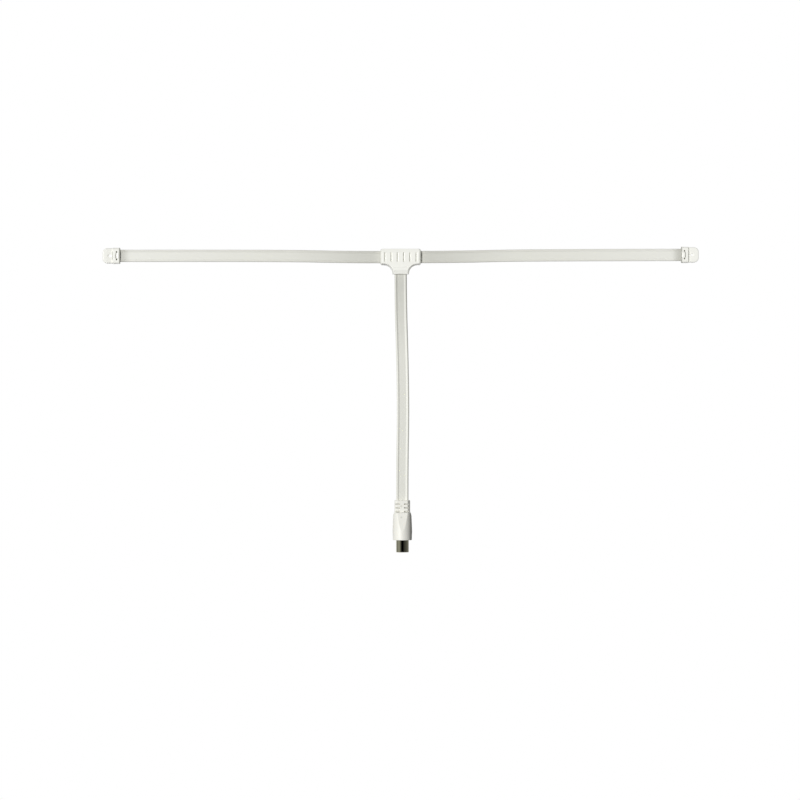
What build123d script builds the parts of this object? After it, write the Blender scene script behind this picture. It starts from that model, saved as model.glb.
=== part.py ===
"""FM indoor antenna: a ribbon dipole hung on a wall by two nails, with a ribbon lead to a coaxial plug.

Millimetres. +Z is up, +X runs along the dipole and +Y points into the wall, so the front faces -Y.
The origin lies on the wall, midway between the two nail holes. A depth is a distance out from the wall.
Plane.XZ looks at the wall: its local x is X, its local y is Z, and its normal points out from the wall.
"""

import os
from math import cos, radians, sin, tan

from build123d import *

# Nails, end tabs and end clips
NAIL_SPACING = 466.0
NAIL_HOLE = 1.8
NAIL_DISH = 3.6
NAIL_DISH_ANGLE = 160
NAIL_TO_TIP = 5.4
NAIL_TO_CLIP = 3.0
TAB_HEIGHT = 12.2
TAB_CORNER = 3.8
TAB_THICKNESS = 3.6
TAB_EDGE = 0.6
BACK_PLATE = 1.4
CLIP_LENGTH = 5.6
CLIP_HEIGHT = 12.8
CLIP_LEG = 1.05
CLIP_FRONT = 1.55
CLIP_SHOULDER = 1.8
CLIP_LIFT = 0.2
CLIP_HOOK = 0.35
CLIP_HOOK_THICKNESS = 0.45
MOUTH_BEVEL = 0.45
MOUTH_BEVEL_DEPTH = 1.3
PRY_NOTCH_WIDTH = 0.45
PRY_NOTCH_HEIGHT = 6.8
PRY_NOTCH_DEPTH = 0.4

# Spring tongue of each end clip, from the clip's inner face
SLIT_WIDTH = 0.4
SLIT_END = 2.6
SLIT_BOW = 0.8
SLIT_HALF_HEIGHT = 3.05
SLIT_END_HOLE = 1.3
NOSE_INSET = 1.5
NOSE_RADIUS = 0.9
NOSE_RISE = 0.35
NOSE_LENGTH = 4.2
NIB_WIDTH = 1.0
NIB_HEIGHT = 4.0

# Twin-lead ribbon and its conductors
RIBBON_WIDTH = 9.8
BEAD = 1.9
BEAD_SIDE_COUNT = 8
WEB = 0.9
CONDUCTOR = 0.7
CONDUCTOR_SIDE_COUNT = 6
TIP_LINK = 0.8
ARM_DIP = 1.4
DIP_START = 95.0
DIP_END = 45.0

# Junction block, from the dipole's axis
JUNCTION_WIDTH = 32.4
JUNCTION_RISE = 6.6
JUNCTION_DROP = 6.4
JUNCTION_CORNER = 0.9
JUNCTION_WALL = 1.9
COVER_BEVEL = 1.25
COVER_BEVEL_DEPTH = 4.2
JUNCTION_FRONT_WALL = 1.9
JUNCTION_DEPTH = 6.9
NECK_WIDTH = 13.4
NECK_STRAIGHT = 0.5
BAR_FOOT = 2.7
FLARE_FLAT_COUNT = 8
TOP_BEVEL_HEIGHT = 2.7
TOP_BEVEL_DEPTH = 1.3
COLLAR_RISE = 0.55
COLLAR_HEIGHT = 5.2
COLLAR_BAND = 2.2
COLLAR_BEVEL_DEPTH = 1.4
GROOVE_COUNT = 6
GROOVE_PITCH = 5.0
GROOVE_WIDTH = 1.0
GROOVE_DEPTH = 1.2
GROOVE_TOP = 3.5
GROOVE_BOTTOM = -3.9
PEG = 2.3
PEG_SIDE_COUNT = 6
PEG_OFFSET = 10.5
PEG_LENGTH = 3.4
LEAD_PEG_DROP = 9.6
BOSS = 4.2

# Feed point inside the junction block
FEED_NOTCH_WIDTH = 12.0
FEED_NOTCH_RISE = 2.0
FEED_JOINT_LENGTH = 2.6
FEED_JOINT = 2.0
FEED_JOINT_SIDE_COUNT = 6
LEAD_TOP_DROP = 6.4

# Lead: its route from the junction block down to the plug
PLUG_X = 1.0
PLUG_TOP = -195.7
LEAD_IN_PLUG = 6.1

# Plug
RELIEF_LENGTH = 9.8
RELIEF_WIDTH = 12.4
RELIEF_DEPTH = 7.4
RELIEF_CORNER = 1.9
RELIEF_SLOTS = 3
RELIEF_SLOT_PITCH = 2.95
RELIEF_SLOT_HEIGHT = 0.9
RELIEF_SLOT_DEPTH = 1.3
RELIEF_FIRST_SLOT = 3.0
RELIEF_SPINE = 3.2
BODY_LENGTH = 21.9
BODY_TOP_WIDTH = 13.4
BODY_SHOULDER_DROP = 2.6
BODY_SHOULDER_WIDTH = 14.6
BODY_WAIST_DROP = 15.0
BODY_DIAMETER = 15.6
BODY_END_WIDTH = 15.0
FACET_TOP = 6.5
FACET_END_DROP = 14.7
PLUG_OFF_WALL = 0.3
SHELL_BORE = 9.6
SHELL_WALL = 0.3
SHELL_LENGTH = 9.8
SHELL_EMBEDDED = 10.0
SHELL_LIP = 0.2
SOLDER_TAG_WIDTH = 3.0
SOLDER_TAG_LENGTH = 6.0
INSULATOR_RECESS = 10.6
CONTACT_BORE = 2.4
CONTACT_WALL = 0.6
CONTACT_RECESS = 0.9
CONTACT_BORE_DEPTH = 8.6
CONTACT_SLOT = 0.4
CONTACT_SLOT_LENGTH = 6.0
CONTACT_TAIL = 2.0
CONTACT_TAIL_LENGTH = 5.0
SOLDER_CUP_DEPTH = 3.0
WIRE_LEAVE = 2.5

# Clearances
SEAT_CLEARANCE = 0.05
STRAND_CLEARANCE = 0.02
PRESS_CLEARANCE = 0.03
CHANNEL_CLEARANCE = 0.2

# Places worked out from the sizes
NAIL_X = NAIL_SPACING / 2
TIP_X = NAIL_X + NAIL_TO_TIP
CLIP_OUTER_X = NAIL_X - NAIL_TO_CLIP
CLIP_INNER_X = CLIP_OUTER_X - CLIP_LENGTH
RIBBON_END_X = CLIP_OUTER_X - TIP_LINK - SEAT_CLEARANCE
BEAD_PITCH = RIBBON_WIDTH - BEAD
RIBBON_DEPTH = BACK_PLATE + SEAT_CLEARANCE + BEAD / 2
JUNCTION_Z = -ARM_DIP
FLARE_RADIUS = (JUNCTION_WIDTH - NECK_WIDTH) / 2 - BAR_FOOT
NECK_BOTTOM = -JUNCTION_DROP - FLARE_RADIUS - NECK_STRAIGHT
FEED_X = BEAD_PITCH / 2
BODY_TOP = PLUG_TOP - RELIEF_LENGTH
BODY_BOTTOM = BODY_TOP - BODY_LENGTH
SHELL_BOTTOM = BODY_BOTTOM - SHELL_LENGTH
SHELL_TOP = BODY_BOTTOM + SHELL_EMBEDDED
PLUG_DEPTH = BODY_DIAMETER / 2 + PLUG_OFF_WALL
LEAD_TOP = JUNCTION_Z - LEAD_TOP_DROP
LEAD_BOTTOM = PLUG_TOP - LEAD_IN_PLUG

# The dipole dips a little at the junction block, which hangs from the two arms
ARM_POINTS = [
    (-RIBBON_END_X, -RIBBON_DEPTH, 0.0),
    (-DIP_START, -RIBBON_DEPTH, 0.0),
    (-DIP_END, -RIBBON_DEPTH, JUNCTION_Z),
    (DIP_END, -RIBBON_DEPTH, JUNCTION_Z),
    (DIP_START, -RIBBON_DEPTH, 0.0),
    (RIBBON_END_X, -RIBBON_DEPTH, 0.0),
]

# The lead leaves the block straight down, drifts a little to the right and comes away from the wall,
# which the plug touches
LEAD_POINTS = [
    (0.0, -RIBBON_DEPTH, LEAD_TOP),
    (0.0, -RIBBON_DEPTH, -38.0),
    (1.3, -3.9, -82.0),
    (1.9, -5.9, -126.0),
    (PLUG_X, -PLUG_DEPTH, -168.0),
    (PLUG_X, -PLUG_DEPTH, LEAD_BOTTOM),
]


def bend_radii(points):
    """The largest radius that each corner's two runs allow."""
    radii = []
    for before, corner, after in zip(points, points[1:], points[2:]):
        run_in = Vector(*corner) - Vector(*before)
        run_out = Vector(*after) - Vector(*corner)
        half_turn = radians(run_in.get_angle(run_out)) / 2
        radii.append(0.45 * min(run_in.length, run_out.length) / tan(half_turn))
    return radii


arm_radii = bend_radii(ARM_POINTS)
lead_radii = bend_radii(LEAD_POINTS)
print("dipole bend radii, mm:", [round(radius) for radius in arm_radii])
print("lead bend radii, mm:", [round(radius) for radius in lead_radii])

with BuildLine() as arm_route:
    FilletPolyline(*ARM_POINTS, radius=arm_radii)
with BuildLine() as lead_route:
    FilletPolyline(*LEAD_POINTS, radius=lead_radii)

ARM_PLANE = Plane(origin=ARM_POINTS[0], x_dir=(0, 0, 1), z_dir=(1, 0, 0))
LEAD_PLANE = Plane(origin=LEAD_POINTS[0], x_dir=(1, 0, 0), z_dir=(0, 0, -1))
PLUG_PLANE = Plane(origin=(PLUG_X, -PLUG_DEPTH, 0))
WALL_PLANE = Plane.XZ
JUNCTION_PLANE = Plane(origin=(0, 0, JUNCTION_Z), x_dir=(1, 0, 0), z_dir=(0, -1, 0))


def twin_lead(plane):
    """Section of the ribbon: two beads joined by a web, each moulded round its bundle of strands."""
    half_flat = 180 / BEAD_SIDE_COUNT
    with BuildSketch(plane) as section:
        with GridLocations(BEAD_PITCH, 0, 2, 1):
            RegularPolygon(BEAD / 2, BEAD_SIDE_COUNT, major_radius=False, rotation=half_flat)
        Rectangle(BEAD_PITCH, WEB)
        with GridLocations(BEAD_PITCH, 0, 2, 1):
            RegularPolygon(CONDUCTOR / 2 + STRAND_CLEARANCE, CONDUCTOR_SIDE_COUNT, mode=Mode.SUBTRACT)
    return section.sketch


def strand(plane, offset):
    """Section of one conductor, set off from the ribbon's axis: seven strands pack into a hexagon."""
    with BuildSketch(plane) as section:
        with Locations((offset, 0)):
            RegularPolygon(CONDUCTOR / 2, CONDUCTOR_SIDE_COUNT)
    return section.sketch


# Dipole ribbon: punched for the junction block's pegs and the end clips' nibs, and notched at the feed
NOSE_X = CLIP_INNER_X + NOSE_INSET
with BuildPart() as dipole_ribbon:
    sweep(sections=twin_lead(ARM_PLANE), path=arm_route.wire())
    with BuildSketch(WALL_PLANE):
        with Locations((-PEG_OFFSET, JUNCTION_Z), (PEG_OFFSET, JUNCTION_Z)):
            RegularPolygon(PEG / 2 + SEAT_CLEARANCE, PEG_SIDE_COUNT)
        with Locations((-NOSE_X, 0), (NOSE_X, 0)):
            Rectangle(NIB_WIDTH + 2 * SEAT_CLEARANCE, NIB_HEIGHT + 2 * SEAT_CLEARANCE)
        with Locations((0, JUNCTION_Z - FEED_NOTCH_RISE)):
            Rectangle(FEED_NOTCH_WIDTH, RIBBON_WIDTH, align=(Align.CENTER, Align.MAX))
    extrude(amount=2 * RIBBON_DEPTH, mode=Mode.SUBTRACT)
dipole_ribbon.part.label = "dipole_ribbon"

# Lead ribbon: punched for its peg in the junction block
with BuildPart() as downlead_ribbon:
    sweep(sections=twin_lead(LEAD_PLANE), path=lead_route.wire())
    with BuildSketch(WALL_PLANE):
        with Locations((0, JUNCTION_Z - LEAD_PEG_DROP)):
            RegularPolygon(PEG / 2 + SEAT_CLEARANCE, PEG_SIDE_COUNT)
    extrude(amount=2 * RIBBON_DEPTH, mode=Mode.SUBTRACT)
downlead_ribbon.part.label = "downlead_ribbon"

# Dipole conductors: the upper runs from tip to tip, the lower is cut at the feed
with BuildPart() as upper_conductor:
    sweep(sections=strand(ARM_PLANE, FEED_X), path=arm_route.wire())
upper_conductor.part.label = "upper_conductor"

LOWER_END_X = FEED_X + CONDUCTOR / 2 + SEAT_CLEARANCE
with BuildPart() as lower_conductor_left:
    sweep(sections=strand(ARM_PLANE, -FEED_X), path=arm_route.wire())
    split(bisect_by=Plane.YZ.offset(-LOWER_END_X), keep=Keep.BOTTOM)
lower_conductor_left.part.label = "lower_conductor_left"

with BuildPart() as lower_conductor_right:
    mirror(lower_conductor_left.part, about=Plane.YZ)
lower_conductor_right.part.label = "lower_conductor_right"

# Plug shell: a rolled tube with a solder tag, which also keys it into the overmould
SHELL_RADIUS = SHELL_BORE / 2 + SHELL_WALL
with BuildPart() as plug_shell:
    with BuildSketch(PLUG_PLANE.offset(SHELL_BOTTOM)):
        Circle(SHELL_RADIUS)
        Circle(SHELL_BORE / 2, mode=Mode.SUBTRACT)
    extrude(amount=SHELL_TOP - SHELL_BOTTOM)
    mouth = plug_shell.edges().group_by(Axis.Z)[0].sort_by(SortBy.LENGTH)[-1]
    chamfer(mouth, SHELL_LIP)
    with BuildSketch(PLUG_PLANE.offset(SHELL_TOP)):
        Circle(SHELL_RADIUS)
        Circle(SHELL_BORE / 2, mode=Mode.SUBTRACT)
        with Locations((-SHELL_RADIUS, 0)):
            Rectangle(SHELL_RADIUS, SOLDER_TAG_WIDTH, mode=Mode.INTERSECT)
    extrude(amount=SOLDER_TAG_LENGTH)
plug_shell.part.label = "plug_shell"

# Plug insulator: a bush in the shell that carries the centre contact
CONTACT_RADIUS = CONTACT_BORE / 2 + CONTACT_WALL
INSULATOR_BOTTOM = SHELL_BOTTOM + INSULATOR_RECESS
with BuildPart() as plug_insulator:
    with BuildSketch(PLUG_PLANE.offset(INSULATOR_BOTTOM)):
        Circle(SHELL_BORE / 2 - PRESS_CLEARANCE)
        Circle(CONTACT_RADIUS + PRESS_CLEARANCE, mode=Mode.SUBTRACT)
    extrude(amount=SHELL_TOP - INSULATOR_BOTTOM)
plug_insulator.part.label = "plug_insulator"

# Centre contact: a turned socket, slotted so that it grips the pin, with a solder cup on its tail
CONTACT_BOTTOM = SHELL_BOTTOM + CONTACT_RECESS
TAIL_TOP = SHELL_TOP + CONTACT_TAIL_LENGTH
with BuildPart() as plug_centre_contact:
    with BuildSketch(PLUG_PLANE.offset(CONTACT_BOTTOM)):
        Circle(CONTACT_RADIUS)
    extrude(amount=SHELL_TOP - CONTACT_BOTTOM)
    with BuildSketch(PLUG_PLANE.offset(SHELL_TOP)):
        Circle(CONTACT_TAIL / 2)
    extrude(amount=CONTACT_TAIL_LENGTH)
    with BuildSketch(PLUG_PLANE.offset(CONTACT_BOTTOM)):
        Circle(CONTACT_BORE / 2)
    extrude(amount=CONTACT_BORE_DEPTH, mode=Mode.SUBTRACT)
    with BuildSketch(PLUG_PLANE.offset(CONTACT_BOTTOM)):
        Rectangle(CONTACT_SLOT, 3 * CONTACT_RADIUS)
    extrude(amount=CONTACT_SLOT_LENGTH, mode=Mode.SUBTRACT)
    with BuildSketch(PLUG_PLANE.offset(TAIL_TOP)):
        Circle(CONDUCTOR / 2 + STRAND_CLEARANCE)
    extrude(amount=-SOLDER_CUP_DEPTH, mode=Mode.SUBTRACT)
plug_centre_contact.part.label = "plug_centre_contact"

# Lead conductors: bare above the ribbon, where they meet the lower dipole conductor, and bare below it,
# where the left one runs to the shell's solder tag and the right one into the contact's solder cup
BARE_TOP = JUNCTION_Z - FEED_X + CONDUCTOR / 2
WIRE_BOTTOM = LEAD_BOTTOM - WIRE_LEAVE
TAG_WIRE_X = CONDUCTOR / 2 + SEAT_CLEARANCE - SHELL_BORE / 2
CUP_WIRE_Z = TAIL_TOP - SOLDER_CUP_DEPTH + SEAT_CLEARANCE
BARE_PLANE = Plane(origin=(0, -RIBBON_DEPTH, BARE_TOP), x_dir=(1, 0, 0), z_dir=(0, 0, -1))
with BuildLine() as bare_route:
    bare_points = [(0, -RIBBON_DEPTH, BARE_TOP), *LEAD_POINTS[1:-1], (PLUG_X, -PLUG_DEPTH, LEAD_BOTTOM)]
    FilletPolyline(*bare_points, radius=lead_radii)


def lead_conductor(side, terminal_x, terminal_z):
    """One conductor of the lead, from the feed joint to its terminal in the plug."""
    wire_x = PLUG_X + side * FEED_X
    bend_z = (WIRE_BOTTOM + TAIL_TOP) / 2
    tail_start = Plane(origin=(wire_x, -PLUG_DEPTH, LEAD_BOTTOM), x_dir=(1, 0, 0), z_dir=(0, 0, -1))
    with BuildLine() as tail_route:
        Polyline(
            (wire_x, -PLUG_DEPTH, LEAD_BOTTOM),
            (wire_x, -PLUG_DEPTH, WIRE_BOTTOM),
            (PLUG_X + terminal_x, -PLUG_DEPTH, bend_z),
            (PLUG_X + terminal_x, -PLUG_DEPTH, terminal_z),
        )
    with BuildPart() as conductor:
        sweep(sections=strand(BARE_PLANE, side * FEED_X), path=bare_route.wire())
        sweep(sections=strand(tail_start, 0), path=tail_route.wire(), transition=Transition.RIGHT)
    return conductor


lead_conductor_left = lead_conductor(-1, TAG_WIRE_X, SHELL_TOP)
lead_conductor_left.part.label = "lead_conductor_left"
lead_conductor_right = lead_conductor(1, 0.0, CUP_WIRE_Z)
lead_conductor_right.part.label = "lead_conductor_right"

# Tip links: a strip soldered across the two conductors at each end of the dipole
with BuildPart() as tip_link_left:
    with BuildSketch(Plane(origin=ARM_POINTS[0], x_dir=(0, 0, 1), z_dir=(-1, 0, 0))):
        Rectangle(BEAD_PITCH + CONDUCTOR, CONDUCTOR)
    extrude(amount=TIP_LINK)
tip_link_left.part.label = "tip_link_left"

with BuildPart() as tip_link_right:
    mirror(tip_link_left.part, about=Plane.YZ)
tip_link_right.part.label = "tip_link_right"

# Feed joints: a crimped sleeve round the meeting ends of the lower dipole conductor and the lead's
# conductor
with BuildPart() as feed_joint_left:
    joint_start = (-FEED_X + CONDUCTOR, -RIBBON_DEPTH, JUNCTION_Z - FEED_X)
    with BuildSketch(Plane(origin=joint_start, x_dir=(0, 0, 1), z_dir=(-1, 0, 0))):
        RegularPolygon(FEED_JOINT / 2, FEED_JOINT_SIDE_COUNT)
    extrude(amount=FEED_JOINT_LENGTH)
    add(lower_conductor_left.part, mode=Mode.SUBTRACT)
    add(lead_conductor_left.part, mode=Mode.SUBTRACT)
feed_joint_left.part.label = "feed_joint_left"

with BuildPart() as feed_joint_right:
    mirror(feed_joint_left.part, about=Plane.YZ)
feed_joint_right.part.label = "feed_joint_right"


def junction_outline(plane):
    """Outline of the junction block: a bar with concave flares, in short flats, down to the neck."""
    half = JUNCTION_WIDTH / 2
    neck = NECK_WIDTH / 2
    turns = [radians(90 * flat / FLARE_FLAT_COUNT) for flat in range(FLARE_FLAT_COUNT + 1)]
    flare = [
        (neck + FLARE_RADIUS * (1 - sin(turn)), -JUNCTION_DROP - FLARE_RADIUS * (1 - cos(turn)))
        for turn in turns
    ]
    with BuildSketch(plane) as outline:
        with BuildLine():
            Polyline((0, JUNCTION_RISE), (half, JUNCTION_RISE), (half, -JUNCTION_DROP), *flare,
                     (neck, NECK_BOTTOM), (0, NECK_BOTTOM))
            mirror(about=Plane.YZ)
        make_face()
        chamfer(outline.vertices().group_by(Axis.X)[0], JUNCTION_CORNER)
        chamfer(outline.vertices().group_by(Axis.X)[-1], JUNCTION_CORNER)
    return outline.sketch


def ribbon_channels(plane):
    """Where the dipole passes through the block and the lead goes down out of it."""
    width = RIBBON_WIDTH + 2 * CHANNEL_CLEARANCE
    with BuildSketch(plane) as channels:
        Rectangle(2 * JUNCTION_WIDTH, width)
        Rectangle(width, -2 * NECK_BOTTOM, align=(Align.CENTER, Align.MAX))
    return channels.sketch


CHANNEL_DEPTH = BEAD / 2 + SEAT_CLEARANCE
PEG_PLACES = [(-PEG_OFFSET, 0), (PEG_OFFSET, 0), (0, -LEAD_PEG_DROP)]
PEG_FOOT = RIBBON_DEPTH - CHANNEL_DEPTH

# Rear cover: a flat-backed tray whose pegs pass through the ribbons' webs
with BuildPart() as junction_rear_cover:
    extrude(junction_outline(JUNCTION_PLANE), amount=RIBBON_DEPTH)
    extrude(ribbon_channels(JUNCTION_PLANE.offset(PEG_FOOT)), amount=RIBBON_DEPTH, mode=Mode.SUBTRACT)
    with BuildSketch(JUNCTION_PLANE.offset(PEG_FOOT)):
        with Locations(*PEG_PLACES):
            RegularPolygon(PEG / 2, PEG_SIDE_COUNT)
    extrude(amount=PEG_LENGTH)
junction_rear_cover.part.label = "junction_rear_cover"

# Front cover: a shell with sloping sides, grip grooves, a bevelled top and a collar, and bosses that take
# the pegs
CAVITY_DEPTH = JUNCTION_DEPTH - JUNCTION_FRONT_WALL
BOSS_FACE = RIBBON_DEPTH + WEB / 2 + SEAT_CLEARANCE
COLLAR_TOP = NECK_BOTTOM + COLLAR_HEIGHT
COLLAR_DEPTH = JUNCTION_DEPTH + COLLAR_RISE
GROOVE_LENGTH = GROOVE_TOP - GROOVE_BOTTOM
SIDE_PLANE = Plane(origin=(0, 0, JUNCTION_Z), x_dir=(0, -1, 0), z_dir=(-1, 0, 0))
with BuildPart() as junction_front_cover:
    block_outline = junction_outline(JUNCTION_PLANE.offset(RIBBON_DEPTH))
    extrude(block_outline, amount=COLLAR_DEPTH - RIBBON_DEPTH)
    block_front = junction_front_cover.faces().sort_by(Axis.Y)[0]
    block_sides = block_front.edges().sort_by(Axis.Z)[1:-1]
    chamfer(block_sides, COVER_BEVEL, COVER_BEVEL_DEPTH, reference=block_front)
    with BuildSketch(SIDE_PLANE) as side_profile:
        with BuildLine():
            Polyline(
                (0, JUNCTION_RISE),
                (JUNCTION_DEPTH - TOP_BEVEL_DEPTH, JUNCTION_RISE),
                (JUNCTION_DEPTH, JUNCTION_RISE - TOP_BEVEL_HEIGHT),
                (JUNCTION_DEPTH, COLLAR_TOP + COLLAR_RISE),
                (COLLAR_DEPTH, COLLAR_TOP),
                (COLLAR_DEPTH, COLLAR_TOP - COLLAR_BAND),
                (COLLAR_DEPTH - COLLAR_BEVEL_DEPTH, NECK_BOTTOM),
                (0, NECK_BOTTOM),
                close=True,
            )
        make_face()
    extrude(amount=JUNCTION_WIDTH, both=True, mode=Mode.INTERSECT)
    extrude(
        offset(block_outline, amount=-JUNCTION_WALL, kind=Kind.INTERSECTION, mode=Mode.PRIVATE),
        amount=CAVITY_DEPTH - RIBBON_DEPTH,
        mode=Mode.SUBTRACT,
    )
    extrude(ribbon_channels(JUNCTION_PLANE.offset(RIBBON_DEPTH)), amount=CHANNEL_DEPTH, mode=Mode.SUBTRACT)
    with BuildSketch(JUNCTION_PLANE.offset(CAVITY_DEPTH)):
        with Locations(*PEG_PLACES):
            RegularPolygon(BOSS / 2, PEG_SIDE_COUNT)
            RegularPolygon(PEG / 2 + SEAT_CLEARANCE, PEG_SIDE_COUNT, mode=Mode.SUBTRACT)
    extrude(amount=BOSS_FACE - CAVITY_DEPTH)
    with Locations((0, -JUNCTION_DEPTH, JUNCTION_Z + GROOVE_BOTTOM + GROOVE_LENGTH / 2)):
        with GridLocations(GROOVE_PITCH, 0, GROOVE_COUNT, 1):
            Box(GROOVE_WIDTH, 2 * GROOVE_DEPTH, GROOVE_LENGTH, mode=Mode.SUBTRACT)
junction_front_cover.part.label = "junction_front_cover"

# End tab: a rounded plate with a dished nail hole, a notch to prise the clip off, and a thin back plate
# that carries the ribbon's end
CLIP_SEAT = BACK_PLATE + BEAD + 2 * SEAT_CLEARANCE
CLIP_DEPTH = CLIP_SEAT + CLIP_FRONT
CLIP_INSIDE = CLIP_HEIGHT - 2 * CLIP_LEG
PLATE_HEIGHT = CLIP_INSIDE - 2 * SEAT_CLEARANCE
REBATE_DEPTH = CLIP_LIFT + CLIP_HOOK_THICKNESS + SEAT_CLEARANCE
END_PLANE = Plane(origin=(-CLIP_OUTER_X, 0, 0), x_dir=(0, -1, 0), z_dir=(1, 0, 0))
with BuildPart() as left_end_tab:
    with BuildSketch(WALL_PLANE) as tab_outline:
        with Locations((-TIP_X, 0)):
            Rectangle(TIP_X - CLIP_OUTER_X, TAB_HEIGHT, align=(Align.MIN, Align.CENTER))
        fillet(tab_outline.vertices().group_by(Axis.X)[0], TAB_CORNER)
    extrude(amount=TAB_THICKNESS)
    front_edges = left_end_tab.faces().sort_by(Axis.Y)[0].edges()
    chamfer(front_edges.sort_by(Axis.X)[:-1], TAB_EDGE)
    with BuildSketch(END_PLANE):
        Rectangle(BACK_PLATE, PLATE_HEIGHT, align=(Align.MIN, Align.CENTER))
        with GridLocations(0, PLATE_HEIGHT, 1, 2):
            Rectangle(2 * REBATE_DEPTH, 2 * CLIP_HOOK, mode=Mode.SUBTRACT)
    extrude(amount=CLIP_LENGTH)
    with Locations(WALL_PLANE.offset(TAB_THICKNESS)):
        with Locations((-NAIL_X, 0)):
            CounterSinkHole(NAIL_HOLE / 2, NAIL_DISH / 2, counter_sink_angle=NAIL_DISH_ANGLE)
    with BuildSketch(WALL_PLANE.offset(TAB_THICKNESS)):
        with Locations((-CLIP_OUTER_X, 0)):
            Rectangle(PRY_NOTCH_WIDTH, PRY_NOTCH_HEIGHT, align=(Align.MAX, Align.CENTER))
    extrude(amount=-PRY_NOTCH_DEPTH, mode=Mode.SUBTRACT)
left_end_tab.part.label = "left_end_tab"

with BuildPart() as right_end_tab:
    mirror(left_end_tab.part, about=Plane.YZ)
right_end_tab.part.label = "right_end_tab"

# End clip: a saddle over the ribbon's end that hooks behind the back plate and is bevelled at its mouth.
# A curved slit frees a tongue whose nib goes through the ribbon's web, and the nose on the tongue is
# pressed to lift it
SLIT_X = CLIP_INNER_X + SLIT_END
NIB_FOOT = RIBBON_DEPTH - WEB / 2
NOSE_DEPTH = CLIP_DEPTH + NOSE_RISE - NOSE_RADIUS
with BuildPart() as left_end_clip:
    with BuildSketch(END_PLANE) as saddle:
        with Locations((CLIP_LIFT, 0)):
            Rectangle(CLIP_DEPTH - CLIP_LIFT, CLIP_HEIGHT, align=(Align.MIN, Align.CENTER))
        fillet(saddle.vertices().group_by(Axis.X)[-1], CLIP_SHOULDER)
        Rectangle(CLIP_SEAT, CLIP_INSIDE, align=(Align.MIN, Align.CENTER), mode=Mode.SUBTRACT)
        with Locations((CLIP_LIFT, 0)):
            with GridLocations(0, CLIP_INSIDE - CLIP_HOOK, 1, 2):
                Rectangle(CLIP_HOOK_THICKNESS, CLIP_HOOK, align=(Align.MIN, Align.CENTER))
    extrude(amount=CLIP_LENGTH)
    with BuildSketch(Plane.XY):
        with BuildLine():
            Polyline(
                (-CLIP_INNER_X, -CLIP_DEPTH),
                (-CLIP_INNER_X - MOUTH_BEVEL, -CLIP_DEPTH),
                (-CLIP_INNER_X, -CLIP_DEPTH + MOUTH_BEVEL_DEPTH),
                close=True,
            )
        make_face()
    extrude(amount=CLIP_HEIGHT, both=True, mode=Mode.SUBTRACT)
    with BuildSketch(WALL_PLANE.offset(CLIP_SEAT)):
        slit_ends = [(-SLIT_X, SLIT_HALF_HEIGHT), (-SLIT_X, -SLIT_HALF_HEIGHT)]
        with BuildLine(mode=Mode.PRIVATE) as slit:
            ThreePointArc(slit_ends[0], (-SLIT_X - SLIT_BOW, 0), slit_ends[1])
        SlotArc(slit.edge(), SLIT_WIDTH)
        with Locations(*slit_ends):
            Circle(SLIT_END_HOLE / 2)
    extrude(amount=CLIP_FRONT, mode=Mode.SUBTRACT)
    with Locations((-NOSE_X, -NOSE_DEPTH, 0)):
        Cylinder(NOSE_RADIUS, NOSE_LENGTH)
    with BuildSketch(WALL_PLANE.offset(NIB_FOOT)):
        with Locations((-NOSE_X, 0)):
            Rectangle(NIB_WIDTH, NIB_HEIGHT)
    extrude(amount=CLIP_SEAT - NIB_FOOT)
left_end_clip.part.label = "left_end_clip"

with BuildPart() as right_end_clip:
    mirror(left_end_clip.part, about=Plane.YZ)
right_end_clip.part.label = "right_end_clip"


# Plug body: moulded over the ribbon's end, the wires and the shell. A round grip, flattened towards its top
# by sloping facets, under a flat strain relief with slots either side of a spine
BODY_PROFILE = [
    (BODY_TOP_WIDTH / 2, 0),
    (BODY_SHOULDER_WIDTH / 2, -BODY_SHOULDER_DROP),
    (BODY_DIAMETER / 2, -BODY_WAIST_DROP),
    (BODY_END_WIDTH / 2, -BODY_LENGTH),
]
FACET_PROFILE = [
    (FACET_TOP, 0),
    (BODY_DIAMETER / 2, -FACET_END_DROP),
    (BODY_DIAMETER / 2, -BODY_LENGTH),
]
BODY_FRONT_PLANE = Plane(origin=(PLUG_X, -PLUG_DEPTH, BODY_TOP), x_dir=(1, 0, 0), z_dir=(0, -1, 0))
BODY_SIDE_PLANE = Plane(origin=(PLUG_X, -PLUG_DEPTH, BODY_TOP), x_dir=(0, 1, 0), z_dir=(1, 0, 0))
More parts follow.
